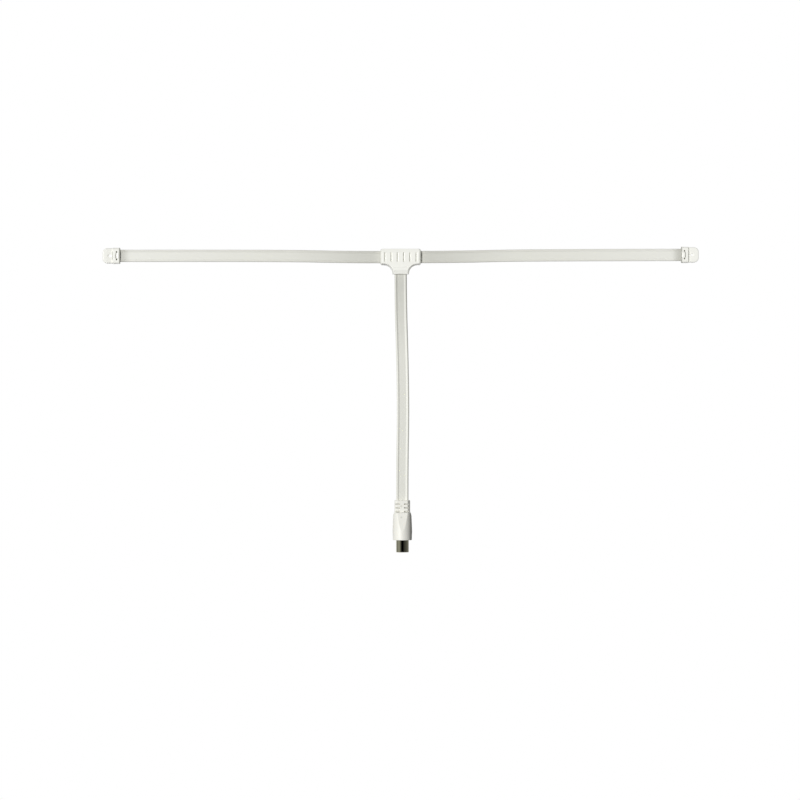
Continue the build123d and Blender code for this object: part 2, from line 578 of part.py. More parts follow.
with BuildPart() as plug_body:
    with BuildSketch(PLUG_PLANE.offset(BODY_BOTTOM)):
        Circle(BODY_DIAMETER / 2)
    extrude(amount=BODY_LENGTH)
    for plane, profile in ((BODY_FRONT_PLANE, BODY_PROFILE), (BODY_SIDE_PLANE, FACET_PROFILE)):
        with BuildSketch(plane):
            with BuildLine():
                Polyline((0, 0), *profile, (0, -BODY_LENGTH))
                mirror(about=Plane.YZ)
            make_face()
        extrude(amount=BODY_DIAMETER, both=True, mode=Mode.INTERSECT)
    with BuildSketch(PLUG_PLANE.offset(BODY_TOP)) as relief:
        Rectangle(RELIEF_WIDTH, RELIEF_DEPTH)
        chamfer(relief.vertices(), RELIEF_CORNER)
    extrude(amount=RELIEF_LENGTH)
    for level in range(RELIEF_SLOTS):
        slot_z = PLUG_TOP - RELIEF_FIRST_SLOT - level * RELIEF_SLOT_PITCH
        with Locations(PLUG_PLANE.offset(slot_z)):
            with GridLocations(RELIEF_WIDTH, RELIEF_DEPTH, 2, 2):
                Box(
                    RELIEF_WIDTH - RELIEF_SPINE,
                    2 * RELIEF_SLOT_DEPTH,
                    RELIEF_SLOT_HEIGHT,
                    mode=Mode.SUBTRACT,
                )
    with BuildSketch(PLUG_PLANE.offset(BODY_BOTTOM)):
        Circle(SHELL_RADIUS)
    extrude(amount=SHELL_EMBEDDED, mode=Mode.SUBTRACT)
    for insert in (downlead_ribbon, lead_conductor_left, lead_conductor_right, plug_shell,
                   plug_centre_contact):
        add(insert.part, mode=Mode.SUBTRACT)
plug_body.part.label = "plug_body"

PIECES = [
    dipole_ribbon, downlead_ribbon, upper_conductor, lower_conductor_left, lower_conductor_right,
    lead_conductor_left, lead_conductor_right, tip_link_left, tip_link_right, feed_joint_left,
    feed_joint_right, junction_front_cover, junction_rear_cover, left_end_tab, right_end_tab,
    left_end_clip, right_end_clip, plug_body, plug_shell, plug_insulator, plug_centre_contact,
]
os.makedirs("parts", exist_ok=True)
for piece in PIECES:
    export_step(piece.part, f"parts/{piece.part.label}.step")
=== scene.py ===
"""FM indoor antenna: a white ribbon dipole with a ribbed junction block and a lead to a coaxial plug.

Metres, in the frame of the solids: +X along the dipole, +Y into the wall, +Z up.
"""

import math

import bpy
from mathutils import Matrix, Vector


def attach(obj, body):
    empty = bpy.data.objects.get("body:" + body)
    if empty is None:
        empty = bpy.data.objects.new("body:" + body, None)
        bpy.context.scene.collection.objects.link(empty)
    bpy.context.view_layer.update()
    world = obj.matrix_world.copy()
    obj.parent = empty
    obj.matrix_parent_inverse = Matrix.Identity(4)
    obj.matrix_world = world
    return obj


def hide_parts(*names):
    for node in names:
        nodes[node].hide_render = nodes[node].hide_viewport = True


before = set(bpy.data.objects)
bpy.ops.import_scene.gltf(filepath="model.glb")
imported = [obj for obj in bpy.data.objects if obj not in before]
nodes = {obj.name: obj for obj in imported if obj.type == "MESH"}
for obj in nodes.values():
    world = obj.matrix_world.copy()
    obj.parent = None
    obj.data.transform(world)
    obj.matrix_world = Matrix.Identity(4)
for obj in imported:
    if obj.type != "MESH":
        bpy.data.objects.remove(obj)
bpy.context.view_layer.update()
MM = 0.001
bpy.ops.object.select_all(action="DESELECT")

# Conductors
# Seven soft copper strands twisted together run in each edge of the ribbons. They were drawn bare and
# show only as a warm line through the plastic.


def linear(hex_colour):
    """An sRGB hex colour as linear RGBA."""
    channels = [int(hex_colour[i:i + 2], 16) / 255 for i in (1, 3, 5)]
    spread = [c / 12.92 if c <= 0.04045 else ((c + 0.055) / 1.055) ** 2.4 for c in channels]
    return (*spread, 1.0)


def add_node(tree, kind, inputs=None, **settings):
    """Adds a shader node, with its settings, and sets or links its inputs."""
    made = tree.nodes.new(kind)
    for name, value in settings.items():
        setattr(made, name, value)
    for socket, value in (inputs or {}).items():
        if isinstance(value, bpy.types.NodeSocket):
            tree.links.new(value, made.inputs[socket])
        else:
            made.inputs[socket].default_value = value
    return made


def new_material(name, **sockets):
    """A material with its shader sockets set, its node tree, its shader and its object coordinates."""
    material = bpy.data.materials.new(name)
    material.use_nodes = True
    tree = material.node_tree
    shader = tree.nodes["Principled BSDF"]
    for socket, value in sockets.items():
        shader.inputs[socket.replace("_", " ")].default_value = value
    place = add_node(tree, "ShaderNodeTexCoord").outputs["Object"]
    return material, tree, shader, place


def finish_with(piece, material):
    """Gives the piece its one material."""
    piece.data.materials.clear()
    piece.data.materials.append(material)


# Drawn copper: bright, slightly oxidised, with the lay of the strands as fine slanting ridges
STRAND_PITCH = 0.35 * MM
STRAND_RIDGE = 0.05 * MM
TARNISH_PATCH = 4 * MM
copper, tree, shader, place = new_material("drawn_copper_strands", Metallic=1.0, Roughness=0.3)
tarnish = add_node(tree, "ShaderNodeTexNoise", {"Vector": place, "Scale": 1 / TARNISH_PATCH,
                                                "Detail": 3.0})
copper_tint = add_node(tree, "ShaderNodeMix", {"Factor": tarnish.outputs["Fac"], "A": linear("#B8713F"),
                                               "B": linear("#D08A54")}, data_type="RGBA")
tree.links.new(copper_tint.outputs["Result"], shader.inputs["Base Color"])
lay = add_node(tree, "ShaderNodeTexWave", {"Vector": place, "Scale": 1 / (2 * math.pi * STRAND_PITCH)},
               bands_direction="DIAGONAL")
ridges = add_node(tree, "ShaderNodeBump", {"Height": lay.outputs["Fac"], "Strength": 0.3,
                                           "Distance": STRAND_RIDGE})
tree.links.new(ridges.outputs["Normal"], shader.inputs["Normal"])
for name in ("upper_conductor", "lower_conductor_left", "lower_conductor_right",
             "lead_conductor_left", "lead_conductor_right"):
    finish_with(nodes[name], copper)

# Dipole ribbon
# Twin-lead: milky polyethylene extruded over two conductors, with a round bead on each edge and a thin
# web between them. It is cut to length and hangs between the end tabs, a little low at the block.
RIBBON_WIDTH = 9.8 * MM
BEAD = 1.9 * MM
WEB = 0.9 * MM
SHOULDER = 0.8 * MM
BEAD_PITCH = RIBBON_WIDTH - BEAD
RIBBON_DEPTH = -2.4 * MM
ARM_ROUTE = [
    (-229.15, 0.0),
    (-95.0, 0.0),
    (-45.0, -1.4),
    (45.0, -1.4),
    (95.0, 0.0),
    (229.15, 0.0),
]
ROUTE_STEPS = 24
PROFILE_STEPS = 36
CUT_EDGE = math.radians(40)


def smooth_line(points):
    """The points along the route's smooth spline, first to last."""
    curve = bpy.data.curves.new("route", "CURVE")
    curve.dimensions = "3D"
    curve.resolution_u = ROUTE_STEPS
    spline = curve.splines.new("NURBS")
    spline.points.add(len(points) - 1)
    for control, place_on_route in zip(spline.points, points):
        control.co = (*place_on_route, 1.0)
    spline.order_u = 3
    spline.use_endpoint_u = True
    carrier = bpy.data.objects.new("route", curve)
    bpy.context.collection.objects.link(carrier)
    depsgraph = bpy.context.evaluated_depsgraph_get()
    line = bpy.data.meshes.new_from_object(carrier.evaluated_get(depsgraph))
    along = [vertex.co.copy() for vertex in line.vertices]
    bpy.data.objects.remove(carrier)
    bpy.data.meshes.remove(line)
    return along


def half_thickness(across):
    """Half the ribbon's thickness at a distance from its middle: a bead that eases into the web."""
    reach = abs(across) - BEAD_PITCH / 2
    bead = math.sqrt(max((BEAD / 2) ** 2 - reach ** 2, 0.0))
    if reach > 0:
        return bead
    blend = max(SHOULDER - abs(bead - WEB / 2), 0.0) / SHOULDER
    return max(bead, WEB / 2) + blend ** 2 * SHOULDER / 4


def ribbon_profile():
    """The closed outline of the ribbon's section: distances across it and out from its middle plane."""
    turns = [math.pi * i / PROFILE_STEPS for i in range(PROFILE_STEPS + 1)]
    stations = [-RIBBON_WIDTH / 2 * math.cos(turn) for turn in turns]
    front = [(across, half_thickness(across)) for across in stations]
    back = [(across, -out) for across, out in reversed(front[1:-1])]
    return front + back


def new_piece(name, mesh):
    """A piece at the origin with this mesh, which alone is selected."""
    piece = bpy.data.objects.new(name, mesh)
    bpy.context.collection.objects.link(piece)
    bpy.ops.object.select_all(action="DESELECT")
    piece.select_set(True)
    bpy.context.view_layer.objects.active = piece
    return piece


def sweep_ribbon(name, along, across_axis):
    """A ribbon that follows a line, with a map of its length and of its width."""
    outline = ribbon_profile()
    vertices = []
    for i, point in enumerate(along):
        ahead = along[min(i + 1, len(along) - 1)] - along[max(i - 1, 0)]
        ahead.normalize()
        side = (across_axis - ahead * across_axis.dot(ahead)).normalized()
        out = ahead.cross(side)
        vertices += [point + side * across + out * depth for across, depth in outline]
    count = len(outline)
    faces = [tuple(range(count)), tuple(reversed(range(len(vertices) - count, len(vertices))))]
    for ring in range(len(along) - 1):
        low = ring * count
        high = low + count
        for k in range(count):
            beside = (k + 1) % count
            faces.append((low + k, high + k, high + beside, low + beside))
    mesh = bpy.data.meshes.new(name)
    mesh.from_pydata(vertices, [], faces)
    run = [0.0]
    for before, after in zip(along, along[1:]):
        run.append(run[-1] + (after - before).length)
    width_map = mesh.uv_layers.new(name="ribbon_map")
    for loop in mesh.loops:
        ring, k = divmod(loop.vertex_index, count)
        width_map.data[loop.index].uv = (run[ring], outline[k][0] / RIBBON_WIDTH + 0.5)
    piece = new_piece(name, mesh)
    bpy.ops.object.mode_set(mode="EDIT")
    bpy.ops.mesh.select_all(action="SELECT")
    bpy.ops.mesh.normals_make_consistent(inside=False)
    bpy.ops.object.mode_set(mode="OBJECT")
    bpy.ops.object.shade_smooth_by_angle(angle=CUT_EDGE)
    return piece


# Milky polyethylene: soft, waxy and a little see-through, greyer towards the junction block, with a
# painted shadow before each clip's mouth, the die's lines along it and a warm shadow where each conductor
# lies
GREYING_TINTS = ((24, "#D4D4CC"), (60, "#E0E0D8"), (90, "#E8E8E0"), (130, "#EBEBE3"), (205, "#F0F0E9"))
GREYING_REACH = 240
PALEST_LEAD = 80 * MM
CLIP_MOUTH = 224.4 * MM
CLIP_SHADOW_LENGTH = 9 * MM
CLIP_SHADOW_STRENGTH = 0.6
CORE_REACH = 0.5 * MM
CORE_SHADE = 0.08
DIE_LINE = 0.45 * MM
DIE_LINE_DEPTH = 0.06 * MM
DIE_CHANGES_PER_METRE = 6.0
polyethylene, tree, shader, place = new_material(
    "milky_polyethylene", IOR=1.51, Roughness=0.42, Subsurface_Weight=0.3, Subsurface_Scale=0.4 * MM)
shader.inputs["Subsurface Radius"].default_value = (1.0, 1.0, 1.0)
# The ribbon is greyer the nearer it lies to the junction block.
held = add_node(tree, "ShaderNodeVectorMath", {0: place, 1: (-1, -1, -PALEST_LEAD)}, operation="MAXIMUM")
reach = add_node(tree, "ShaderNodeVectorMath", {0: held.outputs["Vector"]}, operation="LENGTH")
fade = add_node(tree, "ShaderNodeMapRange", {"Value": reach.outputs["Value"],
                                             "From Max": GREYING_REACH * MM})
greying = add_node(tree, "ShaderNodeValToRGB", {"Fac": fade.outputs["Result"]})
steps = greying.color_ramp.elements
while len(steps) < len(GREYING_TINTS):
    steps.new(0.5)
for step, (distance, tint) in zip(steps, GREYING_TINTS):
    step.position = distance / GREYING_REACH
    step.color = linear(tint)
along_arm = add_node(tree, "ShaderNodeSeparateXYZ", {0: place})
from_block = add_node(tree, "ShaderNodeMath", {0: along_arm.outputs["X"]}, operation="ABSOLUTE")
# Painted shadow: the ribbon greys over the last few millimetres before each clip's mouth.
clip_shadow = add_node(tree, "ShaderNodeMapRange", {
    "Value": from_block.outputs["Value"], "From Min": CLIP_MOUTH - CLIP_SHADOW_LENGTH, "From Max": CLIP_MOUTH,
    "To Max": CLIP_SHADOW_STRENGTH}, interpolation_type="SMOOTHSTEP")
body_tint = add_node(tree, "ShaderNodeMix", {"Factor": clip_shadow.outputs["Result"],
                                             "A": greying.outputs["Color"],
                                             "B": linear("#A9A99F")}, data_type="RGBA")
ribbon_map = add_node(tree, "ShaderNodeUVMap", uv_map="ribbon_map")
split = add_node(tree, "ShaderNodeSeparateXYZ", {0: ribbon_map.outputs["UV"]})
from_middle = add_node(tree, "ShaderNodeMath", {0: split.outputs["Y"], 1: 0.5}, operation="SUBTRACT")
off_middle = add_node(tree, "ShaderNodeMath", {0: from_middle.outputs["Value"]}, operation="ABSOLUTE")
from_core = add_node(tree, "ShaderNodeMath", {0: off_middle.outputs["Value"],
                                              1: BEAD_PITCH / 2 / RIBBON_WIDTH}, operation="SUBTRACT")
core_gap = add_node(tree, "ShaderNodeMath", {0: from_core.outputs["Value"]}, operation="ABSOLUTE")
core = add_node(tree, "ShaderNodeMapRange", {
    "Value": core_gap.outputs["Value"], "From Max": CORE_REACH / RIBBON_WIDTH, "To Min": CORE_SHADE,
    "To Max": 0.0}, interpolation_type="SMOOTHSTEP")
cored = add_node(tree, "ShaderNodeMix", {"Factor": core.outputs["Result"],
                                         "A": body_tint.outputs["Result"],
                                         "B": linear("#CDBFB0")}, data_type="RGBA")
tree.links.new(cored.outputs["Result"], shader.inputs["Base Color"])
stretched = add_node(tree, "ShaderNodeMapping", {
    "Vector": ribbon_map.outputs["UV"], "Scale": (DIE_CHANGES_PER_METRE, RIBBON_WIDTH / DIE_LINE, 1.0)})
die_lines = add_node(tree, "ShaderNodeTexNoise", {"Vector": stretched.outputs["Vector"], "Scale": 1.0,
                                                  "Detail": 2.0})
drawn = add_node(tree, "ShaderNodeBump", {"Height": die_lines.outputs["Fac"], "Strength": 0.35,
                                          "Distance": DIE_LINE_DEPTH})
tree.links.new(drawn.outputs["Normal"], shader.inputs["Normal"])

arm_line = smooth_line([(x * MM, RIBBON_DEPTH, z * MM) for x, z in ARM_ROUTE])
dipole = sweep_ribbon("dipole_ribbon_extruded", arm_line, Vector((0, 0, 1)))
finish_with(dipole, polyethylene)
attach(dipole, "root")
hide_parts("dipole_ribbon")

# Lead ribbon
# The same twin-lead, from the junction block down to the plug. It comes a little away from the wall,
# because the plug is thicker than the ribbon.
LEAD_ROUTE = [
    (0.0, -2.4, -7.8),
    (0.0, -2.4, -38.0),
    (1.3, -3.9, -82.0),
    (1.9, -5.9, -126.0),
    (1.0, -8.1, -168.0),
    (1.0, -8.1, -201.8),
]
lead_line = smooth_line([Vector(point) * MM for point in LEAD_ROUTE])
lead = sweep_ribbon("lead_ribbon_extruded", lead_line, Vector((1, 0, 0)))
finish_with(lead, polyethylene)
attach(lead, "root")
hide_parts("downlead_ribbon")

# Tip links and feed joints
# A tinned strip joins the two conductors at each tip, and a crimped sleeve joins each lower conductor to
# the lead inside the junction block. All are covered once the housings are closed.

# Hot-dipped tin: a pale grey metal, softly frosted where it set
FROST = 0.6 * MM
tinned, tree, shader, place = new_material("hot_dipped_tin", Metallic=1.0, Roughness=0.38)
frosting = add_node(tree, "ShaderNodeTexNoise", {"Vector": place, "Scale": 1 / FROST, "Detail": 4.0})
tin_tint = add_node(tree, "ShaderNodeMix", {"Factor": frosting.outputs["Fac"], "A": linear("#B5B3AC"),
                                            "B": linear("#D3D1CA")}, data_type="RGBA")
tree.links.new(tin_tint.outputs["Result"], shader.inputs["Base Color"])
for name in ("tip_link_left", "tip_link_right", "feed_joint_left", "feed_joint_right"):
    finish_with(nodes[name], tinned)

# Junction block
# Two covers of white polystyrene, moulded apart and pressed together over the ribbons. The front one has
# grip grooves, a bevelled top and a collar round the lead.
COVER_CELL = 0.2
COVER_ROUNDS = 4
WELD = 0.002 * MM


def solid_copy(node, ending):
    """A copy of a solid in its place, with its loose triangles merged, which stands for the solid."""
    piece = new_piece(node + ending, nodes[node].data.copy())
    bpy.ops.object.mode_set(mode="EDIT")
    bpy.ops.mesh.select_all(action="SELECT")
    bpy.ops.mesh.remove_doubles(threshold=WELD)
    bpy.ops.object.mode_set(mode="OBJECT")
    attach(piece, "root")
    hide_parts(node)
    return piece


def moulded_copy(node, cell, rounds):
    """A copy of a solid with corners eased as in a mould: rebuilt in cells, in mm, and smoothed."""
    piece = solid_copy(node, "_moulded")
    piece.data.transform(Matrix.Scale(1 / MM, 4))
    rebuilt = piece.modifiers.new("rebuilt", "REMESH")
    rebuilt.mode = "VOXEL"
    rebuilt.voxel_size = cell
    bpy.ops.object.modifier_apply(modifier="rebuilt")
    eased = piece.modifiers.new("eased", "SMOOTH")
    eased.factor = 0.5
    eased.iterations = rounds
    bpy.ops.object.modifier_apply(modifier="eased")
    piece.data.transform(Matrix.Scale(MM, 4))
    bpy.ops.object.shade_smooth()
    return piece


def where_all(tree, tests):
    """A mask that is one where every test holds. A test is an operation, a value and its limits."""
    mask = None
    for operation, *terms in tests:
        held = add_node(tree, "ShaderNodeMath", dict(enumerate(terms)), operation=operation)
        if mask is not None:
            held = add_node(tree, "ShaderNodeMath", {0: mask, 1: held.outputs["Value"]},
                            operation="MULTIPLY")
        mask = held.outputs["Value"]
    return mask


# Moulded polystyrene: bright warm white with a satin gloss, a faint orange peel, slight clouding and
# painted shade in the grip grooves, in the notch where each end clip is prised off, and on the clip's
# mouth
CLOUD = 9 * MM
PEEL = 0.5 * MM
PEEL_DEPTH = 0.05 * MM
GROOVED_HALF_WIDTH = 13.3 * MM
GROOVE_MIDDLE = -1.6 * MM
GROOVE_HALF_LENGTH = 4.0 * MM
GROOVE_LIP = -6.7 * MM
GROOVE_FLOOR = -6.0 * MM
GROOVE_BACK = -5.4 * MM
GROOVE_SHADE = 0.4
NOTCH_REACH = 230.3 * MM
NOTCH_HALF_WIDTH = 0.27 * MM
NOTCH_HALF_LENGTH = 3.4 * MM
NOTCH_BACK = -2.5 * MM
NOTCH_SHADE = 0.35
MOUTH_EDGE = 1.2 * MM
MOUTH_SHADE = 0.75
polystyrene, tree, shader, place = new_material("moulded_polystyrene", IOR=1.55, Roughness=0.3)
clouding = add_node(tree, "ShaderNodeTexNoise", {"Vector": place, "Scale": 1 / CLOUD, "Detail": 3.0})
white = add_node(tree, "ShaderNodeMix", {"Factor": clouding.outputs["Fac"], "A": linear("#F2F2EB"),
                                         "B": linear("#F9F9F2")}, data_type="RGBA")
axes = add_node(tree, "ShaderNodeSeparateXYZ", {0: place})
off_axis = add_node(tree, "ShaderNodeMath", {0: axes.outputs["X"]}, operation="ABSOLUTE")
# Painted shade: the floors of the grip grooves are darker the deeper they lie.
in_groove = where_all(tree, (
    ("LESS_THAN", off_axis.outputs["Value"], GROOVED_HALF_WIDTH),
    ("COMPARE", axes.outputs["Z"], GROOVE_MIDDLE, GROOVE_HALF_LENGTH),
    ("LESS_THAN", axes.outputs["Y"], GROOVE_BACK)))
sunk = add_node(tree, "ShaderNodeMapRange", {"Value": axes.outputs["Y"], "From Min": GROOVE_LIP,
                                             "From Max": GROOVE_FLOOR, "To Max": GROOVE_SHADE})
groove_shade = add_node(tree, "ShaderNodeMath", {0: in_groove, 1: sunk.outputs["Result"]}, operation="MULTIPLY")
groove_shaded = add_node(tree, "ShaderNodeMix", {"Factor": groove_shade.outputs["Value"], "A": white.outputs["Result"],
                                          "B": linear("#C6C6BC")}, data_type="RGBA")
# Painted shade in the prising notch between each tab and its clip.
in_notch = where_all(tree, (
    ("COMPARE", off_axis.outputs["Value"], NOTCH_REACH, NOTCH_HALF_WIDTH),
    ("COMPARE", axes.outputs["Z"], 0.0, NOTCH_HALF_LENGTH),
    ("LESS_THAN", axes.outputs["Y"], NOTCH_BACK)))
notch_shade = add_node(tree, "ShaderNodeMath", {0: in_notch, 1: NOTCH_SHADE}, operation="MULTIPLY")
notched = add_node(tree, "ShaderNodeMix", {"Factor": notch_shade.outputs["Value"],
                                           "A": groove_shaded.outputs["Result"],
                                           "B": linear("#A2A298")}, data_type="RGBA")
# Painted shade on the clips' mouths, darkest at the edge where the ribbon goes in.
from_mouth = add_node(tree, "ShaderNodeMath", {0: off_axis.outputs["Value"], 1: CLIP_MOUTH},
                      operation="SUBTRACT")
off_mouth = add_node(tree, "ShaderNodeMath", {0: from_mouth.outputs["Value"]}, operation="ABSOLUTE")
mouth_shade = add_node(tree, "ShaderNodeMapRange", {
    "Value": off_mouth.outputs["Value"], "From Max": MOUTH_EDGE, "To Min": MOUTH_SHADE, "To Max": 0.0},
    interpolation_type="SMOOTHSTEP")
edged = add_node(tree, "ShaderNodeMix", {"Factor": mouth_shade.outputs["Result"],
                                         "A": notched.outputs["Result"],
                                         "B": linear("#8E8E84")}, data_type="RGBA")
tree.links.new(edged.outputs["Result"], shader.inputs["Base Color"])
peel = add_node(tree, "ShaderNodeTexNoise", {"Vector": place, "Scale": 1 / PEEL, "Detail": 2.0})
skin = add_node(tree, "ShaderNodeBump", {"Height": peel.outputs["Fac"], "Strength": 0.12,
                                         "Distance": PEEL_DEPTH})
tree.links.new(skin.outputs["Normal"], shader.inputs["Normal"])

mouldings = []
for name in ("junction_rear_cover", "junction_front_cover"):
    cover = moulded_copy(name, COVER_CELL, COVER_ROUNDS)
    finish_with(cover, polystyrene)
    mouldings.append(cover)

# End tabs and end clips
# A white moulded tab with a dished nail hole holds each tip of the dipole. A clip snaps over the ribbon's
# end, and a curved slit frees the tongue that locks it.
TAB_CELL = 0.14
TAB_ROUNDS = 4
CLIP_CELL = 0.1
CLIP_ROUNDS = 3
for side in ("left", "right"):
    tab = moulded_copy(side + "_end_tab", TAB_CELL, TAB_ROUNDS)
    clip = moulded_copy(side + "_end_clip", CLIP_CELL, CLIP_ROUNDS)
    for piece in (tab, clip):
        finish_with(piece, polystyrene)
        mouldings.append(piece)

# Centre contact and insulator
# The plug's socket is turned brass, slotted so that it grips a pin. It is pressed into a bush of white
# plastic, which holds it in the middle of the shell.
CONTACT_EDGE = 0.08 * MM
BUSH_EDGE = 0.12 * MM
FLAT_WITHIN = math.radians(1)
SHARP_FROM = math.radians(28)
CREASE_FROM = math.radians(32)


def turned_copy(node, edge):
    """A copy of a solid whose sharp edges are broken, as on a lathe."""
    piece = solid_copy(node, "_turned")
    bpy.ops.object.mode_set(mode="EDIT")
    bpy.ops.mesh.select_all(action="SELECT")
    bpy.ops.mesh.dissolve_limited(angle_limit=FLAT_WITHIN)
    bpy.ops.object.mode_set(mode="OBJECT")
    broken = piece.modifiers.new("broken", "BEVEL")
    broken.width = edge
    broken.segments = 2
    broken.limit_method = "ANGLE"
    broken.angle_limit = SHARP_FROM
    broken.use_clamp_overlap = False
    bpy.ops.object.modifier_apply(modifier="broken")
    bpy.ops.object.shade_smooth_by_angle(angle=CREASE_FROM)
    return piece


# Turned brass: a clear yellow metal, slightly uneven in tone from the tool
TOOL_MARK = 0.8 * MM
brass, tree, shader, place = new_material("turned_brass", Metallic=1.0, Roughness=0.26)
tool_marks = add_node(tree, "ShaderNodeTexNoise", {"Vector": place, "Scale": 1 / TOOL_MARK,
                                                   "Detail": 3.0})
brass_tint = add_node(tree, "ShaderNodeMix", {"Factor": tool_marks.outputs["Fac"],
                                              "A": linear("#C3A05E"),
                                              "B": linear("#D9BB7C")}, data_type="RGBA")
tree.links.new(brass_tint.outputs["Result"], shader.inputs["Base Color"])
contact = turned_copy("plug_centre_contact", CONTACT_EDGE)
finish_with(contact, brass)
bush = turned_copy("plug_insulator", BUSH_EDGE)
finish_with(bush, polystyrene)

# Plug shell
# A sleeve rolled from thin steel strip and nickel plated. Its tag is held in the plug's body, and its
# open end goes over the connector on the radio.
SHELL_EDGE = 0.06 * MM

# Nickel plate: bright, with a warm cast and fine rub marks round it, which dull it a little
RUB_MARK = 0.25 * MM
RUB_CHANGES_PER_METRE = 60.0
BRIGHTEST = 0.06
DULLEST = 0.14
nickel, tree, shader, place = new_material("nickel_plate", Metallic=1.0)
rub = add_node(tree, "ShaderNodeMapping", {
    "Vector": place, "Scale": (RUB_CHANGES_PER_METRE, RUB_CHANGES_PER_METRE, 1 / RUB_MARK)})
rub_marks = add_node(tree, "ShaderNodeTexNoise", {"Vector": rub.outputs["Vector"], "Scale": 1.0,
                                                  "Detail": 4.0})
plate_tint = add_node(tree, "ShaderNodeMix", {"Factor": rub_marks.outputs["Fac"], "A": linear("#BFBDAE"),
                                              "B": linear("#D0CEBE")}, data_type="RGBA")
tree.links.new(plate_tint.outputs["Result"], shader.inputs["Base Color"])
dulling = add_node(tree, "ShaderNodeMapRange", {"Value": rub_marks.outputs["Fac"], "To Min": BRIGHTEST,
                                                "To Max": DULLEST})
tree.links.new(dulling.outputs["Result"], shader.inputs["Roughness"])
shell = turned_copy("plug_shell", SHELL_EDGE)
finish_with(shell, nickel)

# Plug body
# Soft white PVC moulded over the ribbon's end, the wires and the shell. It has a slotted strain relief
# above a round grip that is flattened towards its top.
PLUG_CELL = 0.2
PLUG_ROUNDS = 8
PLUG_AXIS = 1.0 * MM
PLUG_DEPTH = -8.1 * MM
SLOT_COUNT = 3
LAST_SLOT = -204.6 * MM
SLOT_PITCH = 2.95 * MM
SLOT_HALF_HEIGHT = 0.5 * MM
SLOT_REACH = 6.05 * MM
SPINE_HALF_WIDTH = 1.6 * MM

# Moulded PVC: a soft matt white with a fine grain, painted shade in the relief's slots and two faint
# marks on the front where ejector pins pushed it out of the mould
BLOOM = 5 * MM
GRAIN = 0.3 * MM
GRAIN_DEPTH = 0.05 * MM
SLOT_SHADE = 0.6
EJECTOR_MARKS = ((0.2 * MM, 0, -200.4 * MM), (0.2 * MM, 0, -209.2 * MM))
MARK_RADIUS = 0.6 * MM
MARK_FADE = 1.0 * MM
MARK_STRENGTH = 0.4
SLOT_SHADE_AND_MARK_GREY = linear("#B9B8AE")
pvc, tree, shader, place = new_material(
    "moulded_pvc", IOR=1.53, Roughness=0.5, Subsurface_Weight=0.1, Subsurface_Scale=1.0 * MM)
shader.inputs["Subsurface Radius"].default_value = (1.0, 0.94, 0.86)
bloom = add_node(tree, "ShaderNodeTexNoise", {"Vector": place, "Scale": 1 / BLOOM, "Detail": 3.0})
pvc_tint = add_node(tree, "ShaderNodeMix", {"Factor": bloom.outputs["Fac"], "A": linear("#EEEDE5"),
                                            "B": linear("#F5F4EC")}, data_type="RGBA")
axes = add_node(tree, "ShaderNodeSeparateXYZ", {0: place})
aside = add_node(tree, "ShaderNodeMath", {0: axes.outputs["X"], 1: PLUG_AXIS}, operation="SUBTRACT")
off_axis = add_node(tree, "ShaderNodeMath", {0: aside.outputs["Value"]}, operation="ABSOLUTE")
above = add_node(tree, "ShaderNodeMath", {0: axes.outputs["Z"], 1: LAST_SLOT}, operation="SUBTRACT")
off_slot = add_node(tree, "ShaderNodeMath", {0: above.outputs["Value"], 1: SLOT_PITCH / 2},
                    operation="PINGPONG")
# Painted shade in the strain relief's slots.
in_slot = where_all(tree, (
    ("LESS_THAN", off_slot.outputs["Value"], SLOT_HALF_HEIGHT),
    ("GREATER_THAN", off_axis.outputs["Value"], SPINE_HALF_WIDTH),
    ("LESS_THAN", off_axis.outputs["Value"], SLOT_REACH),
    ("GREATER_THAN", above.outputs["Value"], -SLOT_PITCH / 4),
    ("LESS_THAN", above.outputs["Value"], SLOT_PITCH * (SLOT_COUNT - 0.75))))
slot_shade = add_node(tree, "ShaderNodeMath", {0: in_slot, 1: SLOT_SHADE}, operation="MULTIPLY")
shaded_and_marked = add_node(tree, "ShaderNodeMix", {"Factor": slot_shade.outputs["Value"],
                                          "A": pvc_tint.outputs["Result"],
                                          "B": SLOT_SHADE_AND_MARK_GREY}, data_type="RGBA")
level_place = add_node(tree, "ShaderNodeVectorMath", {0: place, 1: (1, 0, 1)}, operation="MULTIPLY")
in_front = add_node(tree, "ShaderNodeMath", {0: axes.outputs["Y"], 1: PLUG_DEPTH}, operation="LESS_THAN")
for mark in EJECTOR_MARKS:
    off_mark = add_node(tree, "ShaderNodeVectorMath", {0: level_place.outputs["Vector"], 1: mark},
                        operation="DISTANCE")
    spot = add_node(tree, "ShaderNodeMapRange", {
        "Value": off_mark.outputs["Value"], "From Min": MARK_RADIUS, "From Max": MARK_FADE,
        "To Min": MARK_STRENGTH, "To Max": 0.0})
    pressed = add_node(tree, "ShaderNodeMath", {0: spot.outputs["Result"], 1: in_front.outputs["Value"]},
                       operation="MULTIPLY")
    shaded_and_marked = add_node(tree, "ShaderNodeMix", {"Factor": pressed.outputs["Value"],
                                              "A": shaded_and_marked.outputs["Result"],
                                              "B": SLOT_SHADE_AND_MARK_GREY}, data_type="RGBA")
tree.links.new(shaded_and_marked.outputs["Result"], shader.inputs["Base Color"])
matt = add_node(tree, "ShaderNodeTexNoise", {"Vector": place, "Scale": 1 / GRAIN, "Detail": 2.0})
grain = add_node(tree, "ShaderNodeBump", {"Height": matt.outputs["Fac"], "Strength": 0.15,
                                          "Distance": GRAIN_DEPTH})
tree.links.new(grain.outputs["Normal"], shader.inputs["Normal"])

plug = moulded_copy("plug_body", PLUG_CELL, PLUG_ROUNDS)
finish_with(plug, pvc)

# Stage
# White surroundings and a pale floor far below. A soft light from the left and one from behind light all
# but the nickel, two cards lift the shaded sides of the mouldings, and the metal reflects a dim wall.
AMBIENT = 0.1
PURE_WHITE = (1, 1, 1, 1)


